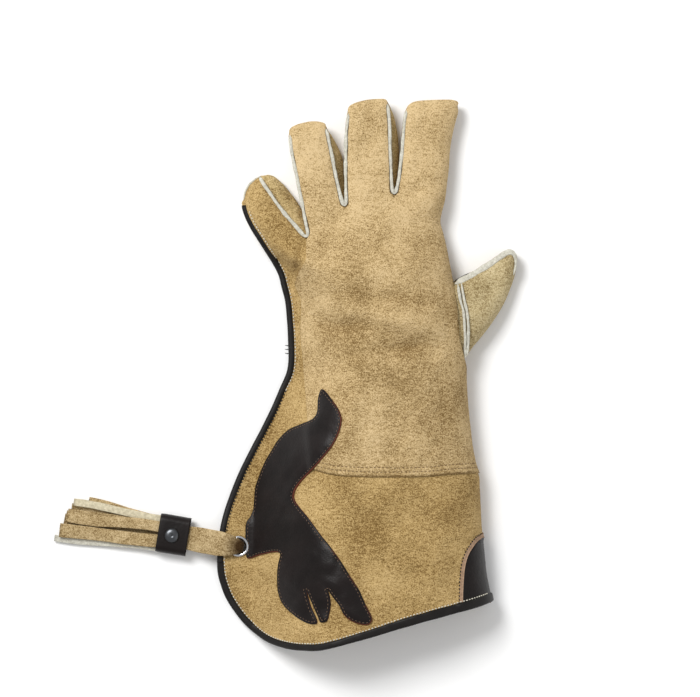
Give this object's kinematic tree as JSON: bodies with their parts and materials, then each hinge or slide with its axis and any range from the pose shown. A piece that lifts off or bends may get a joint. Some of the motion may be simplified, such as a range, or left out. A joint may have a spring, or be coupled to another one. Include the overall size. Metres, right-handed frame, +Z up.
{
  "type": "falconry glove",
  "caption": "Long left-hand suede falconry gauntlet lying palm down, with dark leather bird, black binding, eyelet and tassel",
  "frame": {"origin": "centre of the bounding box in plan, on the floor", "axes": "+Z up off the floor, +Y from the cuff to the fingertips, +X to the thumb side; the palm is down"},
  "size_m": [0.3486, 0.4136, 0.0577],
  "materials": {
    "tan_suede": "napped tan split suede",
    "under_suede": "napped tan suede, a little browner",
    "pale_edge": "raw pale edge of split leather",
    "dark_leather": "smooth very dark brown leather",
    "black_binding": "smooth black leather binding",
    "polished_steel": "bright nickel-plated steel",
    "gunmetal": "dark gunmetal"
  },
  "bodies": {
    "root": {"back_panel": "under_suede", "palm_panel": "under_suede", "cuff_underside": "under_suede", "fourchette_pinky_ring": "under_suede", "fourchette_ring_middle": "under_suede", "fourchette_middle_index": "under_suede", "welt_pinky_ring": "pale_edge", "welt_ring_middle": "pale_edge", "welt_middle_index": "pale_edge", "thumb_back": "tan_suede", "thumb_palm": "tan_suede", "thumb_welt": "pale_edge", "thumb_base_welt": "pale_edge", "hand_overlay": "tan_suede", "bird_applique": "dark_leather", "corner_patch": "dark_leather", "side_binding": "black_binding", "hem_binding": "black_binding", "eyelet": "polished_steel", "tassel_strap": "tan_suede", "tassel_collar": "dark_leather", "collar_rivet": "gunmetal", "tassel_fringe": "tan_suede"}
  },
  "joints": []
}
